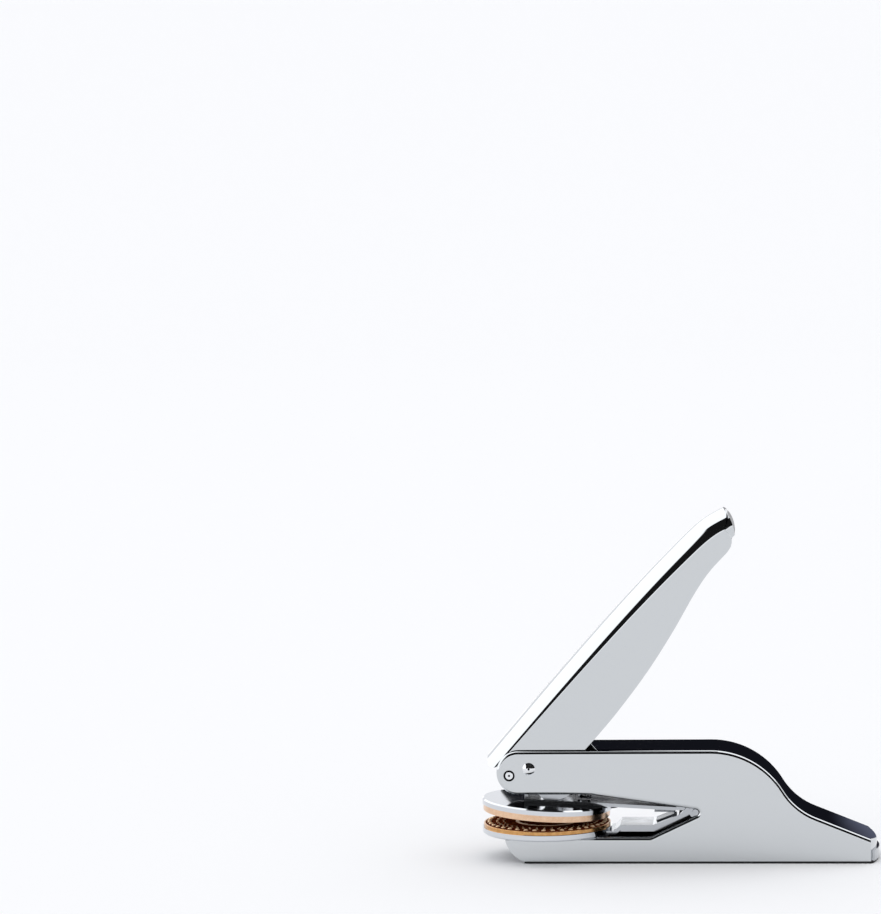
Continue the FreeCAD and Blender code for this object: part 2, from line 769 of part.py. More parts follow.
def upper_jaw():
    """Strip over the upper die, its front end turned up, with ears inside the lower jaw's."""
    top = jaw_top_z
    bottom = upper_holder_top
    half = jaw_half
    strip = box(upper_jaw_front_x, upper_jaw_narrow_x, -half, half, bottom, top)
    lip = box(upper_jaw_front_x, upper_jaw_front_x + jaw_sheet, -half, half, top,
              top + upper_jaw_lip)
    ear_half = half - jaw_sheet - moving_gap
    neck = box(upper_jaw_narrow_x, upper_jaw_web_end, -ear_half, ear_half, bottom, top)
    ear_start = upper_jaw_web_end - 1
    ear = prism(ear_outline((ear_start, bottom), (ear_start, top))
                + [line((ear_start, top), (ear_start, bottom))], ear_half)
    ears = ear.common(side_bands(ear_half, ear_half - jaw_sheet))
    jaw = strip.fuse([lip, neck, ears]).removeSplitter()
    pin = rod(jaw_pin_x, jaw_pin_z, jaw_pin_radius + running_fit, -half, half)
    return open_jaw(jaw.cut([pin] + rivet_holes(bottom - past, top + past)))


def backing_shape(grow, z0, z1):
    """Strip with a round rear end, let into the top of the upper holder."""
    half = jaw_half + grow
    straight = box(backing_front_x - grow, backing_rear_x - jaw_half, -half, half, z0, z1)
    return straight.fuse(disc(half, z0, z1, backing_rear_x - jaw_half)).removeSplitter()


def rivet_holes(z0, z1):
    return [disc(die_rivet_radius + seat_gap, z0, z1, die_rivet_x, side * die_rivet_y)
            for side in (-1, 1)]


def upper_backing():
    low = upper_holder_top - backing_sheet
    plate = backing_shape(0, low, upper_holder_top)
    return open_jaw(plate.cut(rivet_holes(low - past, upper_holder_top + past)))


def upper_holder():
    radius = holder_radius
    low = upper_die_top
    plate = break_rim(disc(radius, low, upper_holder_top), radius, upper_holder_top)
    pocket = disc(spigot_radius + seat_gap, low - past, low + spigot_height + seat_gap)
    backing = backing_shape(seat_gap, upper_holder_top - backing_sheet - seat_gap,
                            upper_holder_top + past)
    return open_jaw(plate.cut([pocket, backing] + rivet_holes(low, upper_holder_top)))


def bead(x, y, face):
    """Small faceted bead standing down from a face."""
    rings = []
    for radius, z in ((bead_radius, face), (bead_radius * bead_taper, face - bead_height)):
        corners = [on_circle((x, y), radius, n * 360 / bead_sides) for n in range(bead_sides + 1)]
        rings.append(Part.makePolygon([Vec(a, b, z) for a, b in corners]))
    return Part.makeLoft(rings, True)


def upper_die():
    """Die with a beaded border and a plain ring standing on its lower face."""
    face = upper_die_bottom
    die = disc(die_radius, face, upper_die_top)
    die = die.fuse(disc(spigot_radius, upper_die_top, upper_die_top + spigot_height))
    raised = [ring(ring_radius, ring_width, face - ring_height, face)]
    for n in range(bead_count):
        x, y = on_circle((0, 0), bead_circle_radius, n * 360 / bead_count)
        raised.append(bead(x, y, face))
    die = die.fuse(raised).removeSplitter()
    return open_jaw(die.cut(rivet_holes(upper_rivet_bottom - seat_gap, upper_holder_top)))


def upper_die_rivets():
    """Two rivets that hold jaw, backing, holder and die together."""
    rivets = []
    for side in (-1, 1):
        y = side * die_rivet_y
        shank = disc(die_rivet_radius, upper_rivet_bottom, jaw_top_z, die_rivet_x, y)
        head = disc(die_rivet_head_radius, jaw_top_z, jaw_top_z + die_rivet_head_height,
                    die_rivet_x, y)
        rim = [e for e in head.Edges if e.BoundBox.ZMin > jaw_top_z + tiny
               and e.BoundBox.ZLength < tiny]
        rivets.append(shank.fuse(head.makeChamfer(die_rivet_head_height / 2, rim)))
    return open_jaw(Part.makeCompound(rivets))


def jaw_pin():
    half = half_width - jaw_pin_inset
    return rod(jaw_pin_x, jaw_pin_z, jaw_pin_radius, -half, half)


def jaw_pin_collars():
    """Sleeves that keep the jaws in the middle between the side plates."""
    collars = []
    for side in (-1, 1):
        near = side * (jaw_half + seat_gap)
        far = side * (inner_half - moving_gap)
        low = min(near, far)
        high = max(near, far)
        sleeve = rod(jaw_pin_x, jaw_pin_z, collar_radius, low, high)
        collars.append(sleeve.cut(rod(jaw_pin_x, jaw_pin_z, jaw_pin_radius + seat_gap, low, high)))
    return Part.makeCompound(collars)


def jaw_spring():
    """Leaf bent double: one arm lies on the lower jaw, the other bears on the upper."""
    rise = math.degrees(math.atan2(lower_jaw_web_end[1] - lower_jaw_top_z,
                                   lower_jaw_web_end[0] - lower_jaw_ramp_x))
    start = rise - 90
    end = 90 - spring_arm_rise
    inner = spring_bend_radius - spring_sheet

    def arm_end(radius, bearing, along):
        root = on_circle(spring_bend, radius, bearing)
        return on_circle(root, spring_arm, along)

    low_outer = arm_end(spring_bend_radius, start, 180 + rise)
    low_inner = arm_end(inner, start, 180 + rise)
    high_outer = arm_end(spring_bend_radius, end, 180 - spring_arm_rise)
    high_inner = arm_end(inner, end, 180 - spring_arm_rise)
    return prism([
        line(low_outer, on_circle(spring_bend, spring_bend_radius, start)),
        arc_about(spring_bend, spring_bend_radius, start, end),
        line(on_circle(spring_bend, spring_bend_radius, end), high_outer),
        line(high_outer, high_inner),
        line(high_inner, on_circle(spring_bend, inner, end)),
        arc_about(spring_bend, inner, end, start),
        line(on_circle(spring_bend, inner, start), low_inner),
        line(low_inner, low_outer),
    ], spring_half_width)


makers = [
    body_shell, base_pan, base_pad, anvil_bridge, pivot_pin, pivot_washers, tie_rivet, tie_spacer,
    lever, lever_end_cap, cam_block, cam_rivets,
    lower_jaw, lower_holder, lower_die, lower_die_rivet, jaw_pin, jaw_pin_collars, jaw_spring,
    upper_jaw, upper_backing, upper_holder, upper_die, upper_die_rivets,
]
for maker in makers:
    save(maker.__name__, maker())
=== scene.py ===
import math
import bpy
import bmesh
from mathutils import Matrix, Vector


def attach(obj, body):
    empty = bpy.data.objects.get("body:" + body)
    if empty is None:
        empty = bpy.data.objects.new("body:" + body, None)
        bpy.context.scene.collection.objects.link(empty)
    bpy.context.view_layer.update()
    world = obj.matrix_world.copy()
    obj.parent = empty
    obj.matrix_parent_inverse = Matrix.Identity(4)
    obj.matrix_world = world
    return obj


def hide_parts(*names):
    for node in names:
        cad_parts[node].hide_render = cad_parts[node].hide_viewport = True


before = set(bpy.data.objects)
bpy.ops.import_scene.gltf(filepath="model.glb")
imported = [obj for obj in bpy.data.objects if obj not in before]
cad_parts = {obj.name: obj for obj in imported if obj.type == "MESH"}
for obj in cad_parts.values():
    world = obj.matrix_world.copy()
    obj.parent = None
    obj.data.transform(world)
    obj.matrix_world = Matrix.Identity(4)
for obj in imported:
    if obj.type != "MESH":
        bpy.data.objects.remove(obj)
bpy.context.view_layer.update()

bpy.context.scene.view_settings.view_transform = "Standard"
mm = 0.001


def linear(hexColour):
    channels = [int(hexColour[i:i + 2], 16) / 255 for i in (1, 3, 5)]
    return [c / 12.92 if c <= 0.04045 else ((c + 0.055) / 1.055) ** 2.4 for c in channels] + [1.0]


def addNode(tree, kind, settings=None, inputs=None):
    node = tree.nodes.new(kind)
    for name, value in (settings or {}).items():
        setattr(node, name, value)
    for name, value in (inputs or {}).items():
        if isinstance(value, bpy.types.NodeSocket):
            tree.links.new(value, node.inputs[name])
        else:
            node.inputs[name].default_value = value
    return node


camera = {
    "place": (87.26, -1313.5, 247.17),   # mm
    "pitch": 86.027,
    "roll": -1.060,
    "yaw": 5.486,
    "focalPixels": 3435.6,               # for a picture 881 x 914
    "longSide": 914,
    "sensor": 36,                        # mm
    "sees": (0.05, 60),                  # m
}


def makeCamera():
    data = bpy.data.cameras.new("camera")
    data.sensor_width = camera["sensor"]
    data.lens = camera["focalPixels"] * camera["sensor"] / camera["longSide"]
    data.clip_start, data.clip_end = camera["sees"]
    obj = bpy.data.objects.new("camera", data)
    bpy.context.collection.objects.link(obj)
    turn = (Matrix.Rotation(math.radians(camera["yaw"]), 4, "Z")
            @ Matrix.Rotation(math.radians(camera["pitch"]), 4, "X")
            @ Matrix.Rotation(math.radians(camera["roll"]), 4, "Z"))
    obj.matrix_world = Matrix.Translation(Vector(camera["place"]) * mm) @ turn
    bpy.context.scene.camera = obj


studio = {
    "floor": "#FAFAFB",
    "floorRoughness": 0.9,
    "reach": 8.0,                # m, half the width of the paper
    "sweepFoot": 5.0,            # m behind the object where the paper turns up
    "sweepRadius": 2.0,          # m
    "sweepSteps": 16,
    "sky": "#FCFDFF",
    "skyStrength": 1.04,
    # what polished metal sees: strengths, and places on a direction one long
    "softbox": 1.65,
    "walls": 1.0,
    "unlit": 0.012,              # the dark end of the room
    "darkEnd": (0.06, -0.02),    # y where it begins, and where it is as dark as it gets
    "horizon": (0.015, 0.035),   # z where it rises from the pale floor
    "leftPanel": -0.64,          # x where the lit panel on the left ends
    "softboxEnd": -0.15,         # x where the softbox behind ends
    "softEdge": 0.03,            # over which both fade out
}


def makeWorld():
    world = bpy.data.worlds.new("studio")
    world.use_nodes = True
    bpy.context.scene.world = world
    tree = world.node_tree
    back = tree.nodes["Background"]
    back.inputs["Color"].default_value = linear(studio["sky"])
    back.inputs["Strength"].default_value = studio["skyStrength"]
    # polished metal sees a room with a dark end in front and lit panels round it
    where = addNode(tree, "ShaderNodeTexCoord")
    towards = addNode(tree, "ShaderNodeSeparateXYZ", inputs={"Vector": where.outputs["Generated"]})
    x, y, z = (towards.outputs[axis] for axis in "XYZ")
    front = addNode(tree, "ShaderNodeMapRange", inputs={
        "Value": y, "From Min": studio["darkEnd"][0], "From Max": studio["darkEnd"][1]})
    right = addNode(tree, "ShaderNodeMapRange", inputs={
        "Value": x, "From Min": studio["leftPanel"] - studio["softEdge"],
        "From Max": studio["leftPanel"]})
    above = addNode(tree, "ShaderNodeMapRange", inputs={
        "Value": z, "From Min": studio["horizon"][0], "From Max": studio["horizon"][1]})
    dark = addNode(tree, "ShaderNodeMath", {"operation": "MULTIPLY"}, {
        0: front.outputs["Result"], 1: right.outputs["Result"]})
    darkEnd = addNode(tree, "ShaderNodeMath", {"operation": "MULTIPLY"}, {
        0: dark.outputs["Value"], 1: above.outputs["Result"]})
    lit = addNode(tree, "ShaderNodeMapRange", inputs={
        "Value": x, "From Min": studio["softboxEnd"] - studio["softEdge"],
        "From Max": studio["softboxEnd"], "To Min": studio["softbox"], "To Max": studio["walls"]})
    level = addNode(tree, "ShaderNodeMapRange", inputs={
        "Value": darkEnd.outputs["Value"], "To Min": lit.outputs["Result"],
        "To Max": studio["unlit"]})
    room = addNode(tree, "ShaderNodeBackground", inputs={
        "Color": linear(studio["sky"]), "Strength": level.outputs["Result"]})
    path = addNode(tree, "ShaderNodeLightPath")
    mix = addNode(tree, "ShaderNodeMixShader", inputs={
        0: path.outputs["Is Glossy Ray"], 1: back.outputs["Background"], 2: room.outputs["Background"]})
    tree.links.new(mix.outputs["Shader"], tree.nodes["World Output"].inputs["Surface"])


def makeFloor():
    # one wide sheet of paper that turns up far behind the object
    mesh = bmesh.new()
    reach, foot, radius = studio["reach"], studio["sweepFoot"], studio["sweepRadius"]
    row = [mesh.verts.new((x, -reach, 0)) for x in (-reach, reach)]
    edge = mesh.edges.new(row)
    run = bmesh.ops.extrude_edge_only(mesh, edges=[edge])["geom"]
    ends = [v for v in run if isinstance(v, bmesh.types.BMVert)]
    bmesh.ops.translate(mesh, verts=ends, vec=(0, reach + foot, 0))
    turned = [e for e in run if isinstance(e, bmesh.types.BMEdge)]
    bmesh.ops.spin(mesh, geom=ends + turned, cent=(0, foot, radius), axis=(1, 0, 0),
                   angle=math.radians(90), steps=studio["sweepSteps"], use_merge=False)
    bmesh.ops.recalc_face_normals(mesh, faces=mesh.faces)
    for face in mesh.faces:
        face.smooth = True
    data = bpy.data.meshes.new("floor")
    mesh.to_mesh(data)
    mesh.free()
    floor = bpy.data.objects.new("floor", data)
    bpy.context.collection.objects.link(floor)
    # matt paper scatters all its light, so it shows soft shadows and nothing shines in it
    paper, _, shader = startMaterial("mattPaperSweep")
    shader.inputs["Base Color"].default_value = linear(studio["floor"])
    shader.inputs["Roughness"].default_value = studio["floorRoughness"]
    shader.inputs["Specular IOR Level"].default_value = 0.0
    data.materials.append(paper)


# the corners of the cards that hang round the object, in mm
cards = {
    "blackBehindRoof": [(x, 150, z) for x, z in (
        (-27, 43), (58, 43), (60, -1), (165, -1), (165, 95), (40, 95), (20, 88), (-4, 71), (-27, 48))],
    "whiteBehindLever": [(x, 600, z) for x, z in (
        (-220, 0), (30, 0), (30, 145), (0, 140), (-90, 70), (-220, 50))],
    "whiteLowFront": [(x, -3000, z) for x, z in ((-3000, 0), (3000, 0), (3000, 120), (-3000, 120))],
    "whiteOverhead": [(x, y, 3000) for x, y in ((-5000, -300), (5000, -300), (5000, 5000), (-5000, 5000))],
}

# the black card turns a little blue towards its foot, at its right end
blueFoot = {
    "colour": "#CFD7FF",
    "glow": 0.17,
    "heights": (25.5, 33.5),     # mm
    "across": (127, 136),        # mm
}


def hangCard(name, glow, foot=None):
    # a lit or an unlit sheet of cloth that only polished metal sees
    mesh = bmesh.new()
    mesh.faces.new([mesh.verts.new(Vector(corner) * mm) for corner in cards[name]])
    data = bpy.data.meshes.new(name)
    mesh.to_mesh(data)
    mesh.free()
    card = bpy.data.objects.new(name, data)
    bpy.context.collection.objects.link(card)
    cloth, tree, _ = startMaterial(name + "Cloth")
    tree.nodes.clear()
    shine = addNode(tree, "ShaderNodeEmission", inputs={"Color": linear(studio["sky"]), "Strength": glow})
    if foot:
        where = addNode(tree, "ShaderNodeTexCoord")
        place = addNode(tree, "ShaderNodeSeparateXYZ", inputs={"Vector": where.outputs["Object"]})
        low, high = foot["heights"]
        left, right = foot["across"]
        along = addNode(tree, "ShaderNodeMapRange", inputs={
            "Value": place.outputs["X"], "From Min": left * mm, "From Max": right * mm,
            "To Min": glow, "To Max": foot["glow"]})
        fade = addNode(tree, "ShaderNodeMapRange", inputs={
            "Value": place.outputs["Z"], "From Min": high * mm, "From Max": low * mm,
            "To Min": glow, "To Max": along.outputs["Result"]})
        shine.inputs["Color"].default_value = linear(foot["colour"])
        tree.links.new(fade.outputs["Result"], shine.inputs["Strength"])
    addNode(tree, "ShaderNodeOutputMaterial", inputs={"Surface": shine.outputs["Emission"]})
    data.materials.append(cloth)
    card.visible_camera = False
    card.visible_diffuse = False
    card.visible_shadow = False
    card.visible_transmission = False


def startMaterial(name):
    material = bpy.data.materials.new(name)
    material.use_nodes = True
    tree = material.node_tree
    return material, tree, tree.nodes["Principled BSDF"]


# plated steel: hard and bright, a little cloudy from the buffing wheel, with fine scratches along it.
# Inside the pressings the colour is painted dark as painted shade, and the plating is rougher.
plating = {
    "sheet": {"colour": "#CDD0D2", "roughness": (0.018, 0.04)},   # chrome, buffed to a mirror
    "turned": {"colour": "#D3D6DA", "roughness": (0.03, 0.07)},   # chrome over turning marks, softer
    "zinc": {"colour": "#B4B7BB", "roughness": (0.10, 0.2)},      # greyer, with a blurred shine
    "spring": {"colour": "#6C7076", "roughness": (0.2, 0.3)},     # bare hardened strip, dark and satin
    "cloudMm": 14,
    "cloudDetail": 3.0,
    "cloudRange": (0.3, 0.7),
    "scratchMm": 0.35,           # the real ones are finer, and would not show
    "scratchDetail": 2.0,
    "scratchAlong": 0.08,        # how much the scratches are drawn out, as a scale
    "scratchDepthMm": 0.0006,
    "scratchStrength": 0.25,
    # painted shade: the colour of the faces inside the pressings
    "insideShadeColour": "#2B2B2E",
    "insideRoughness": 0.28,
    "bodyInsideMm": 13.6,        # half the room between the side plates, and a little more
    "leverInsideMm": 11.6,
    "turnedIn": -0.5,            # how far a face looks to the middle before it is an inside one
    "turnedDown": -0.15,         # and how far down
}


def platedMaterial(name, finish, insideMm=0.0, upward=(0, 0, 1)):
    material, tree, shader = startMaterial(name)
    where = addNode(tree, "ShaderNodeTexCoord")
    cloud = addNode(tree, "ShaderNodeTexNoise", inputs={
        "Vector": where.outputs["Object"], "Scale": 1 / (plating["cloudMm"] * mm),
        "Detail": plating["cloudDetail"]})
    low, high = finish["roughness"]
    rough = addNode(tree, "ShaderNodeMapRange", inputs={
        "Value": cloud.outputs["Fac"], "From Min": plating["cloudRange"][0],
        "From Max": plating["cloudRange"][1], "To Min": low, "To Max": high})
    grain = addNode(tree, "ShaderNodeMapping", inputs={
        "Vector": where.outputs["Object"], "Scale": (plating["scratchAlong"], 1.0, 1.0)})
    scratch = addNode(tree, "ShaderNodeTexNoise", inputs={
        "Vector": grain.outputs["Vector"], "Scale": 1 / (plating["scratchMm"] * mm),
        "Detail": plating["scratchDetail"]})
    bump = addNode(tree, "ShaderNodeBump", inputs={
        "Height": scratch.outputs["Fac"], "Strength": plating["scratchStrength"],
        "Distance": plating["scratchDepthMm"] * mm})
    shader.inputs["Metallic"].default_value = 1.0
    tree.links.new(bump.outputs["Normal"], shader.inputs["Normal"])
    if not insideMm:
        shader.inputs["Base Color"].default_value = linear(finish["colour"])
        tree.links.new(rough.outputs["Result"], shader.inputs["Roughness"])
        return material
    # a face between the walls that looks down or towards the middle is an inside one, painted dark as
    # painted shade
    place = addNode(tree, "ShaderNodeSeparateXYZ", inputs={"Vector": where.outputs["Object"]})
    facing = addNode(tree, "ShaderNodeSeparateXYZ", inputs={"Vector": where.outputs["Normal"]})
    away = addNode(tree, "ShaderNodeMath", {"operation": "ABSOLUTE"}, {0: place.outputs["Y"]})
    between = addNode(tree, "ShaderNodeMath", {"operation": "LESS_THAN"}, {
        0: away.outputs["Value"], 1: insideMm * mm})
    across = addNode(tree, "ShaderNodeMath", {"operation": "MULTIPLY"}, {
        0: place.outputs["Y"], 1: facing.outputs["Y"]})
    inward = addNode(tree, "ShaderNodeMath", {"operation": "LESS_THAN"}, {
        0: across.outputs["Value"], 1: plating["turnedIn"] * insideMm * mm})
    rise = addNode(tree, "ShaderNodeVectorMath", {"operation": "DOT_PRODUCT"}, {
        0: where.outputs["Normal"], 1: upward})
    under = addNode(tree, "ShaderNodeMath", {"operation": "LESS_THAN"}, {
        0: rise.outputs["Value"], 1: plating["turnedDown"]})
    either = addNode(tree, "ShaderNodeMath", {"operation": "MAXIMUM"}, {
        0: inward.outputs["Value"], 1: under.outputs["Value"]})
    shadedInside = addNode(tree, "ShaderNodeMath", {"operation": "MULTIPLY"}, {
        0: either.outputs["Value"], 1: between.outputs["Value"]})
    tone = addNode(tree, "ShaderNodeMix", {"data_type": "RGBA"}, {
        0: shadedInside.outputs["Value"], 6: linear(finish["colour"]), 7: linear(plating["insideShadeColour"])})
    dull = addNode(tree, "ShaderNodeMapRange", inputs={
        "Value": shadedInside.outputs["Value"], "To Min": rough.outputs["Result"],
        "To Max": plating["insideRoughness"]})
    tree.links.new(tone.outputs[2], shader.inputs["Base Color"])
    tree.links.new(dull.outputs["Result"], shader.inputs["Roughness"])
    return material


# turned steel rivets: bright, with painted shade, nearly black, in the tie rivet's groove and in a dot at
# the middle of each head
rivets = {
    "tieCentre": (-13.4, 34.0),                # mm
    "tieRings": ((0.0, 0.42), (1.45, 2.15)),   # inner and outer radii of the painted shade, in mm
    "pivotRings": ((0.0, 0.4),),
    "colour": "#E6E8EA",
    # painted shade in the groove and at the middle of the head
    "hollowShade": "#0A0A0B",
    "roughness": (0.12, 0.7),                  # of the steel and of the painted shade
}


def rivetMaterial(name, centre, rings):
    material, tree, shader = startMaterial(name)
    where = addNode(tree, "ShaderNodeTexCoord")
    x, z = centre
    shift = addNode(tree, "ShaderNodeMapping", inputs={
        "Vector": where.outputs["Object"], "Location": (-x * mm, 0, -z * mm), "Scale": (1, 0, 1)})
    radius = addNode(tree, "ShaderNodeVectorMath", {"operation": "LENGTH"}, {0: shift.outputs["Vector"]})
    dark = None
    for inner, outer in rings:
        past = addNode(tree, "ShaderNodeMath", {"operation": "GREATER_THAN"}, {
            0: radius.outputs["Value"], 1: inner * mm})
        short = addNode(tree, "ShaderNodeMath", {"operation": "LESS_THAN"}, {
            0: radius.outputs["Value"], 1: outer * mm})
        ring = addNode(tree, "ShaderNodeMath", {"operation": "MULTIPLY"}, {
            0: past.outputs["Value"], 1: short.outputs["Value"]})
        dark = ring if dark is None else addNode(tree, "ShaderNodeMath", {"operation": "MAXIMUM"}, {
            0: dark.outputs["Value"], 1: ring.outputs["Value"]})
    tone = addNode(tree, "ShaderNodeMix", {"data_type": "RGBA"}, {
        0: dark.outputs["Value"], 6: linear(rivets["colour"]), 7: linear(rivets["hollowShade"])})
    rough = addNode(tree, "ShaderNodeMapRange", inputs={
        "Value": dark.outputs["Value"], "To Min": rivets["roughness"][0],
        "To Max": rivets["roughness"][1]})
    shader.inputs["Metallic"].default_value = 1.0
    tree.links.new(tone.outputs[2], shader.inputs["Base Color"])
    tree.links.new(rough.outputs["Result"], shader.inputs["Roughness"])
    return material


# copper coloured and brass die metal: bright on the turned rim, with a painted highlight on the tops of the
# beads, and painted dark as painted shade in the gap between the dies, where the cutter went below them
dieMetal = {
    # the dark colour below the face is painted shade in the gap between the dies, and the bright one a
    # painted highlight on the bead tops
    "copper": {"rim": ("#F0D2B4", "#D2A684"), "gapShade": "#43160C", "beadHighlight": "#F2C29C",
               "gapShadeMm": 100.0},    # the whole face
    "brass": {"rim": ("#E2B478", "#AC7440"), "gapShade": "#5C1E10", "beadHighlight": "#FFE0B8",
              "gapShadeMm": 23.9},      # out to the bright rim
    "roughness": 0.2,
    "cloudMm": 1.6,
    "cloudDetail": 4.0,
    "patches": (0.4, 0.8),       # of the cloud, where the painted shade thins
    "patchMost": 0.45,
    "cutMm": 0.6,                # the painted shade ends this far behind the face
    "beadMm": (0.12, 0.34),      # heights over which a bead's top turns to the painted highlight
    "beadMetal": 0.4,
}


def dieMaterial(name, metal, faceMm, up):
    material, tree, shader = startMaterial(name)
    where = addNode(tree, "ShaderNodeTexCoord")
    place = addNode(tree, "ShaderNodeSeparateXYZ", inputs={"Vector": where.outputs["Object"]})
    flat = addNode(tree, "ShaderNodeMapping", inputs={"Vector": where.outputs["Object"], "Scale": (1, 1, 0)})
    radius = addNode(tree, "ShaderNodeVectorMath", {"operation": "LENGTH"}, {0: flat.outputs["Vector"]})
    within = addNode(tree, "ShaderNodeMath", {"operation": "LESS_THAN"}, {
        0: radius.outputs["Value"], 1: metal["gapShadeMm"] * mm})
    over = addNode(tree, "ShaderNodeMath", {"operation": "GREATER_THAN" if up > 0 else "LESS_THAN"}, {
        0: place.outputs["Z"], 1: (faceMm - dieMetal["cutMm"] * up) * mm})
    cut = addNode(tree, "ShaderNodeMath", {"operation": "MULTIPLY"}, {
        0: within.outputs["Value"], 1: over.outputs["Value"]})
    cloud = addNode(tree, "ShaderNodeTexNoise", inputs={
        "Vector": where.outputs["Object"], "Scale": 1 / (dieMetal["cloudMm"] * mm),
        "Detail": dieMetal["cloudDetail"]})
    patchy = addNode(tree, "ShaderNodeMapRange", inputs={
        "Value": cloud.outputs["Fac"], "From Min": dieMetal["patches"][0],
        "From Max": dieMetal["patches"][1], "To Max": dieMetal["patchMost"]})
    light, deep = (linear(colour) for colour in metal["rim"])
    shadeTone = addNode(tree, "ShaderNodeMix", {"data_type": "RGBA"}, {
        0: patchy.outputs["Result"], 6: linear(metal["gapShade"]), 7: deep})
    turned = addNode(tree, "ShaderNodeMix", {"data_type": "RGBA"}, {
        0: cloud.outputs["Fac"], 6: light, 7: deep})
    base = addNode(tree, "ShaderNodeMix", {"data_type": "RGBA"}, {
        0: cut.outputs["Value"], 6: turned.outputs[2], 7: shadeTone.outputs[2]})
    foot, crest = dieMetal["beadMm"]
    top = addNode(tree, "ShaderNodeMapRange", inputs={
        "Value": place.outputs["Z"], "From Min": (faceMm + foot * up) * mm,
        "From Max": (faceMm + crest * up) * mm})
    tone = addNode(tree, "ShaderNodeMix", {"data_type": "RGBA"}, {
        0: top.outputs["Result"], 6: base.outputs[2], 7: linear(metal["beadHighlight"])})
    # the painted shade is not bright metal, and the painted highlight on the beads is only partly metal
    bare = addNode(tree, "ShaderNodeMapRange", inputs={
        "Value": cut.outputs["Value"], "To Min": 1.0, "To Max": 0.0})
    shine = addNode(tree, "ShaderNodeMath", {"operation": "MULTIPLY_ADD"}, {
        0: top.outputs["Result"], 1: dieMetal["beadMetal"], 2: bare.outputs["Result"]})
    tree.links.new(shine.outputs["Value"], shader.inputs["Metallic"])
    tree.links.new(tone.outputs[2], shader.inputs["Base Color"])
    shader.inputs["Roughness"].default_value = dieMetal["roughness"]
    shader.inputs["Specular IOR Level"].default_value = 0.0
    return material


# black sheet rubber, calendered, with a fine matt grain
rubber = {
    "colour": "#101012",
    "roughness": 0.75,
    "grainMm": 0.6,              # coarser than the real grain, so that it shows
    "grainDetail": 2.0,
    "grainDepthMm": 0.05,
    "grainStrength": 0.3,
}


def rubberMaterial():
    material, tree, shader = startMaterial("blackSheetRubber")
    where = addNode(tree, "ShaderNodeTexCoord")
    grain = addNode(tree, "ShaderNodeTexNoise", inputs={
        "Vector": where.outputs["Object"], "Scale": 1 / (rubber["grainMm"] * mm),
        "Detail": rubber["grainDetail"]})
    bump = addNode(tree, "ShaderNodeBump", inputs={
        "Height": grain.outputs["Fac"], "Strength": rubber["grainStrength"],
        "Distance": rubber["grainDepthMm"] * mm})
    shader.inputs["Base Color"].default_value = linear(rubber["colour"])
    shader.inputs["Roughness"].default_value = rubber["roughness"]
    tree.links.new(bump.outputs["Normal"], shader.inputs["Normal"])
    return material


def dress(material, *nodes):
    for name in nodes:
        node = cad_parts[name]
        node.data.materials.clear()
        node.data.materials.append(material)


def thicken(mesh, thickness):
    # gives sheet metal its thickness, on the inner side
    data = bpy.data.meshes.new("sheet")
    mesh.to_mesh(data)
    mesh.free()
    thin = bpy.data.objects.new("sheet", data)
    bpy.context.collection.objects.link(thin)
    wall = thin.modifiers.new("wall", "SOLIDIFY")
    wall.thickness = thickness
    wall.offset = -1
    wall.use_even_offset = True
    wall.use_quality_normals = True
    thick = bmesh.new()
    thick.from_object(thin, bpy.context.evaluated_depsgraph_get())
    bpy.data.objects.remove(thin)
    bpy.data.meshes.remove(data)
    return thick


def finishPiece(mesh, name, material, body, nodes, sharp=35):
    # hangs a finished mesh on the body that carries it, in place of the plain solids
    data = bpy.data.meshes.new(name)
    mesh.to_mesh(data)
    mesh.free()
    data.materials.append(material)
    for face in data.polygons:
        face.use_smooth = True
    data.set_sharp_from_angle(angle=math.radians(sharp))
    piece = bpy.data.objects.new(name, data)
    bpy.context.collection.objects.link(piece)
    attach(piece, body)
    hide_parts(*nodes)
    return piece


# the lever is one pressed channel, drawn along u from its pivot with v square to it, in mm
lever = {
    "pivot": (-5.8, 36.6),
    "angle": 44.8,
    "half": 12.5,
    "sheet": 1.2,
    "domeRadius": 20.0,
    "corner": (2.0, 6.0),            # radius of the long corners at the front and at the tip
    "cornerGrowth": 0.75,            # how early along the lever they widen
    "crown": ((-16.0, 13.8), (31.0, 17.3), (70.0, 19.5), (100.0, 20.1), (114.0, 19.4), (125.6, 16.0)),
    "crownStart": -9.4,
    "crownEnd": 122.6,
    "formStart": -15.9,              # the channel is drawn from here and then cut off in front
    "front": ((-9.4, 14.3), (-10.9, 11.9), (-9.69, 10.25), (-3.288, 3.899)),
    "tipPlanRadius": 5.0,
    "tipRun": 3,                     # the tip's rounding starts this many radii before its end
    "boss": (5.1, 130.0, 255.5),     # radius, first and last angle
    "belly": ((19.0, -10.2), (27.5, -9.8), (40.0, -8.7), (58.7, -6.0), (76.2, -2.2), (93.0, 2.3),
              (102.2, 4.0), (112.3, 4.4)),
    "tip": ((114.6, 4.85), (116.1, 5.7), (117.3, 6.9), (117.6, 8.2)),
    "holes": ((0.0, 0.0, 2.03), (4.6, -4.6, 1.52), (9.4, -3.4, 1.52)),   # u, v, radius
    "lengths": 72,
    "cornerSteps": 12,
    "domeSteps": 10,
    "bossSteps": 16,
    "bellySteps": 40,
    "holeSides": 24,
    "sharp": 32,                     # a bend of more degrees than this stays a sharp edge
    "near": {"line": 0.01, "cheek": 1e-4, "cut": 1e-5, "double": 0.001},   # tolerances
}


def curveAt(points, u):
    # smooth curve through the points
    last = len(points) - 1
    k = max(i for i in range(last) if i == 0 or points[i][0] <= u)
    slopes = []
    for i in (k, k + 1):
        a, b = points[max(i - 1, 0)], points[min(i + 1, last)]
        slopes.append((b[1] - a[1]) / (b[0] - a[0]))
    (x0, y0), (x1, y1) = points[k], points[k + 1]
    run = x1 - x0
    t = (u - x0) / run
    return ((2 * t ** 3 - 3 * t ** 2 + 1) * y0 + (t ** 3 - 2 * t ** 2 + t) * run * slopes[0]
            + (3 * t ** 2 - 2 * t ** 3) * y1 + (t ** 3 - t ** 2) * run * slopes[1])


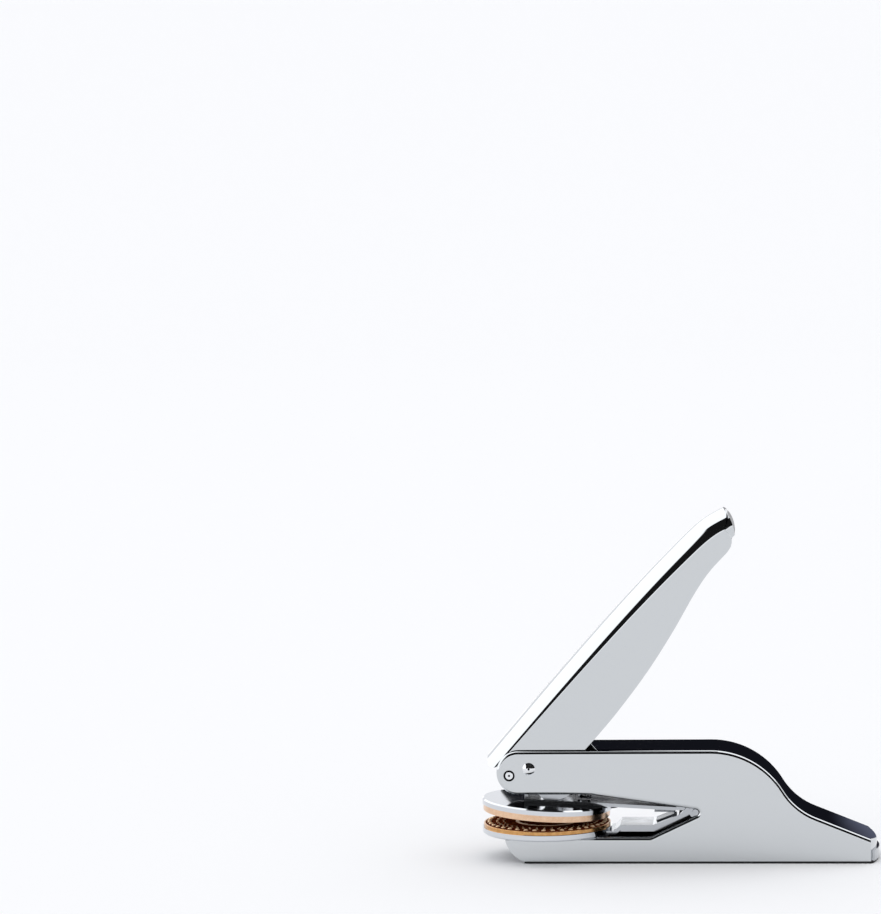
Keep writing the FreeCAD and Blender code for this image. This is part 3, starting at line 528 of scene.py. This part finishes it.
def leverRib(u):
    # half of the channel's crown at one place, from the cheek's top to the middle: (y, v)
    share = (u - lever["crownStart"]) / (lever["crownEnd"] - lever["crownStart"])
    front, tip = lever["corner"]
    corner = front + (tip - front) * max(share, 0) ** lever["cornerGrowth"]
    top = curveAt(lever["crown"], u)
    heart = top - lever["domeRadius"]
    bendY = lever["half"] - corner
    bendV = heart + math.sqrt((lever["domeRadius"] - corner) ** 2 - bendY ** 2)
    turn = math.atan2(bendV - heart, bendY)
    rib = []
    for n in range(lever["cornerSteps"] + 1):
        a = turn * n / lever["cornerSteps"]
        rib.append((bendY + corner * math.cos(a), bendV + corner * math.sin(a)))
    for n in range(1, lever["domeSteps"] + 1):
        a = turn + (math.pi / 2 - turn) * n / lever["domeSteps"]
        rib.append((lever["domeRadius"] * math.cos(a), heart + lever["domeRadius"] * math.sin(a)))
    return rib


def tipInset(y):
    # the plan view of the tip has round corners
    radius = lever["tipPlanRadius"]
    over = max(abs(y) - (lever["half"] - radius), 0)
    return radius - math.sqrt(radius ** 2 - over ** 2)


def cutFront(mesh, a, b):
    # cuts the channel square across along the line from a to b, keeping what is behind it
    co, no = (a[0], 0, a[1]), (b[1] - a[1], 0, a[0] - b[0])
    geom = mesh.verts[:] + mesh.edges[:] + mesh.faces[:]
    bmesh.ops.bisect_plane(mesh, geom=geom, plane_co=co, plane_no=no, dist=lever["near"]["cut"],
                           clear_outer=True)


def onLine(vert, a, b):
    # whether a vertex lies in the cut from a to b
    across = (vert.co.x - a[0]) * (b[1] - a[1]) - (vert.co.z - a[1]) * (b[0] - a[0])
    return abs(across) < lever["near"]["line"]


def makeCrown(mesh):
    # rib after rib along the lever, joined as it goes
    start, end, count = lever["formStart"], lever["crownEnd"], lever["lengths"]
    reach = lever["tipRun"] * lever["tipPlanRadius"]
    lastRib = None
    for n in range(count + 1):
        u = start + (end - start) * n / count
        pull = max((u - end + reach) / reach, 0) ** 2
        half = leverRib(u)
        rib = []
        for y, v in [(-y, v) for y, v in half] + half[-2::-1]:
            back = pull * tipInset(y)
            drop = curveAt(lever["crown"], u - back) - curveAt(lever["crown"], u)
            rib.append(mesh.verts.new((u - back, y, v + drop)))
        edges = [mesh.edges.new(pair) for pair in zip(rib, rib[1:])]
        if lastRib:
            bmesh.ops.bridge_loops(mesh, edges=lastRib + edges)
        lastRib = edges


def closeFront(mesh):
    # the front end is cut to three lines, and a wall closes the upper two
    front, near = lever["front"], lever["near"]["line"]
    for a, b in zip(front, front[1:]):
        cutFront(mesh, a, b)
    brow, knuckle, stop = front[:3]
    rim = sorted((v for v in mesh.verts if v.is_boundary and v.co.x < brow[0] + near
                  and v.co.z > knuckle[1] - near and onLine(v, brow, knuckle)), key=lambda v: v.co.y)
    mesh.faces.new(rim)
    lower = [v for v in mesh.verts if v.is_boundary and stop[1] - near < v.co.z < knuckle[1] + near
             and onLine(v, knuckle, stop)]
    left = sorted((v for v in lower if v.co.y < 0), key=lambda v: -v.co.z)
    right = sorted((v for v in lower if v.co.y > 0), key=lambda v: v.co.z)
    mesh.faces.new(left + right)


def cheekOutline():
    # below the crown each cheek is flat and follows the side view's outline: (u, v)
    radius, first, last = lever["boss"]
    outline = [lever["front"][-1]]
    for n in range(1, lever["bossSteps"] + 1):
        a = math.radians(first + (last - first) * n / lever["bossSteps"])
        outline.append((radius * math.cos(a), radius * math.sin(a)))
    belly = lever["belly"]
    for n in range(lever["bellySteps"] + 1):
        u = belly[0][0] + (belly[-1][0] - belly[0][0]) * n / lever["bellySteps"]
        outline.append((u, curveAt(belly, u)))
    return outline + list(lever["tip"])


def fillCheek(mesh, y, outline):
    # one flat cheek with its holes, from the crown's edge down to the outline
    near = lever["near"]["cheek"]
    top = sorted((v for v in mesh.verts if abs(v.co.y - y) < near), key=lambda v: v.co.x)
    low = [mesh.verts.new((u, y, v)) for u, v in outline]
    loop = low + top[::-1]
    edges = [mesh.edges.get(pair) or mesh.edges.new(pair) for pair in zip(loop, loop[1:] + loop[:1])]
    for u, v, radius in lever["holes"]:
        turn = Matrix.Translation((u, y, v)) @ Matrix.Rotation(math.radians(90), 4, "X")
        ring = bmesh.ops.create_circle(mesh, segments=lever["holeSides"], radius=radius, matrix=turn)
        edges += list({e for vert in ring["verts"] for e in vert.link_edges})
    bmesh.ops.triangle_fill(mesh, edges=edges, use_beauty=True, use_dissolve=False)


def makeLever(material):
    mesh = bmesh.new()
    makeCrown(mesh)
    closeFront(mesh)
    outline = cheekOutline()
    for side in (-1, 1):
        fillCheek(mesh, side * lever["half"], outline)
    bmesh.ops.remove_doubles(mesh, verts=mesh.verts, dist=lever["near"]["double"])
    bmesh.ops.recalc_face_normals(mesh, faces=mesh.faces)
    crownFace = max(mesh.faces, key=lambda f: f.calc_center_median().z)
    if crownFace.normal.z < 0:
        bmesh.ops.reverse_faces(mesh, faces=mesh.faces)
    x, z = lever["pivot"]
    stand = (Matrix.Translation((x * mm, 0, z * mm))
             @ Matrix.Rotation(-math.radians(lever["angle"]), 4, "Y") @ Matrix.Scale(mm, 4))
    bmesh.ops.transform(mesh, matrix=stand, verts=mesh.verts)
    mesh = thicken(mesh, lever["sheet"] * mm)
    piece = finishPiece(mesh, "lever_channel", material, "lever", ["lever"], lever["sharp"])
    weigh = piece.modifiers.new("evenShine", "WEIGHTED_NORMAL")
    weigh.mode = "FACE_AREA"
    weigh.keep_sharp = True


# the two dies, lathe-turned, the lower one with a beaded border and a ring, the upper one with
# grooves for them, in mm
dies = {
    "radius": 24.5,
    "rimRound": 0.12,
    "lowerFace": 13.95,
    "lowerHeight": 1.45,
    "upperHeight": 2.5,
    "gap": 0.35,
    "spigotRadius": 21.0,
    "spigotHeight": 0.5,
    "boreRadius": 1.65,
    "boreCover": 0.7,                # metal left over the bore of the lower die
    "openAngle": 3.4,
    "jawPin": (57.5, 19.65),
    "beads": ((22.4, 0.95, 40), (19.3, 0.62, 44), (16.9, 0.5, 36)),   # circle, bead radius, how many
    "beadHeight": 0.68,
    "beadSides": (10, 8),            # round a bead, and from its top to its bottom
    "ring": (11.5, 0.9, 0.3),        # radius, half its foot's width, height
    "ringTop": 0.6,                  # half its top's width, as a share of its foot
    "ringGroove": (1.3, 1.1, 1.6),   # the groove's mouth, floor and depth, as shares of the ring
    "beadGroovePlay": 0.25,          # room on each side of a bead
    "beadGrooveFloor": 0.75,         # width of the floor, as a share of the mouth
    "beadGrooveDepth": 1.15,         # as a share of the bead's height
    "lathe": 128,                    # steps in a full turn
    "near": 0.002,                   # points closer together are merged
}


def turnedPiece(profile):
    # a lathe profile spun round the upright axis
    mesh = bmesh.new()
    verts = [mesh.verts.new((r * mm, 0, z * mm)) for r, z in profile]
    edges = [mesh.edges.new(pair) for pair in zip(verts, verts[1:])]
    bmesh.ops.spin(mesh, geom=verts + edges, cent=(0, 0, 0), axis=(0, 0, 1),
                   angle=math.radians(360), steps=dies["lathe"], use_merge=True)
    bmesh.ops.remove_doubles(mesh, verts=mesh.verts, dist=dies["near"] * mm)
    bmesh.ops.recalc_face_normals(mesh, faces=mesh.faces)
    return mesh


def makeLowerDie(material):
    face, radius, e = dies["lowerFace"], dies["radius"], dies["rimRound"]
    low = face - dies["lowerHeight"]
    foot = low - dies["spigotHeight"]
    cover = face - dies["boreCover"]
    ringR, ringW, ringH = dies["ring"]
    topW = dies["ringTop"] * ringW
    mesh = turnedPiece([
        (0, face), (ringR - ringW, face), (ringR - topW, face + ringH), (ringR + topW, face + ringH),
        (ringR + ringW, face), (radius - e, face), (radius, face - e), (radius, low),
        (dies["spigotRadius"], low), (dies["spigotRadius"], foot), (dies["boreRadius"], foot),
        (dies["boreRadius"], cover), (0, cover)])
    across, upright = dies["beadSides"]
    for circle, size, count in dies["beads"]:
        high = dies["beadHeight"] * size / dies["beads"][0][1]
        for n in range(count):
            a = math.radians(360 * n / count)
            made = bmesh.ops.create_uvsphere(mesh, u_segments=across, v_segments=upright, radius=1)["verts"]
            place = (Matrix.Translation((circle * math.cos(a) * mm, circle * math.sin(a) * mm, face * mm))
                     @ Matrix.Diagonal((size * mm, size * mm, high * mm, 1)))
            bmesh.ops.transform(mesh, matrix=place, verts=made)
    finishPiece(mesh, "lower_die_beaded", material, "die_insert", ["lower_die"])


def makeUpperDie(material):
    radius, e = dies["radius"], dies["rimRound"]
    face = dies["lowerFace"] + dies["gap"]
    high = face + dies["upperHeight"]
    ringR, ringW, ringH = dies["ring"]
    mouth, floor, depth = dies["ringGroove"]
    profile = [(0, face), (ringR - mouth * ringW, face), (ringR - floor * ringW, face + depth * ringH),
               (ringR + floor * ringW, face + depth * ringH), (ringR + mouth * ringW, face)]
    for circle, size, _ in reversed(dies["beads"]):
        deep = dies["beadGrooveDepth"] * dies["beadHeight"] * size / dies["beads"][0][1]
        wide = size + dies["beadGroovePlay"]
        flat = dies["beadGrooveFloor"] * wide
        profile += [(circle - wide, face), (circle - flat, face + deep),
                    (circle + flat, face + deep), (circle + wide, face)]
    profile += [(radius - e, face), (radius, face + e), (radius, high), (dies["spigotRadius"], high),
                (dies["spigotRadius"], high + dies["spigotHeight"]), (0, high + dies["spigotHeight"])]
    mesh = turnedPiece(profile)
    x, z = dies["jawPin"]
    hinge = Matrix.Translation((x * mm, 0, z * mm))
    bmesh.ops.transform(mesh, verts=mesh.verts, matrix=(
        hinge @ Matrix.Rotation(math.radians(dies["openAngle"]), 4, "Y") @ hinge.inverted()))
    finishPiece(mesh, "upper_die_grooved", material, "upper_jaw", ["upper_die"])


makeCamera()
makeWorld()
makeFloor()
hangCard("blackBehindRoof", studio["unlit"], blueFoot)
hangCard("whiteBehindLever", studio["softbox"])
hangCard("whiteLowFront", studio["softbox"])
hangCard("whiteOverhead", studio["softbox"])
print("studio ready")

tilt = math.radians(lever["angle"])
leverUp = (-math.sin(tilt), 0, math.cos(tilt))
bodyChrome = platedMaterial("chromePlatedBodySheet", plating["sheet"], plating["bodyInsideMm"])
leverChrome = platedMaterial("chromePlatedLeverSheet", plating["sheet"], plating["leverInsideMm"], leverUp)
holderChrome = platedMaterial("turnedPlatedSteel", plating["turned"])
zinc = platedMaterial("zincPlatedStrip", plating["zinc"])
spring = platedMaterial("blueSpringSteel", plating["spring"])
copper = dieMaterial("turnedCopperDie", dieMetal["copper"], dies["lowerFace"] + dies["gap"], -1)
brass = dieMaterial("turnedBrassDie", dieMetal["brass"], dies["lowerFace"], 1)
dress(bodyChrome, "body_shell")
dress(leverChrome, "lever_end_cap")
dress(rivetMaterial("turnedTieRivet", rivets["tieCentre"], rivets["tieRings"]), "tie_rivet")
dress(rivetMaterial("domedPivotRivet", lever["pivot"], rivets["pivotRings"]), "pivot_pin")
dress(holderChrome, "upper_holder", "lower_holder", "upper_backing")
dress(zinc, "base_pan", "anvil_bridge", "pivot_washers", "tie_spacer", "cam_block", "cam_rivets",
      "lower_jaw", "lower_die_rivet", "jaw_pin", "jaw_pin_collars", "upper_jaw", "upper_die_rivets")
dress(spring, "jaw_spring")
dress(rubberMaterial(), "base_pad")
print("materials ready")

makeLever(leverChrome)
print("lever ready")
makeLowerDie(brass)
makeUpperDie(copper)
print("dies ready")
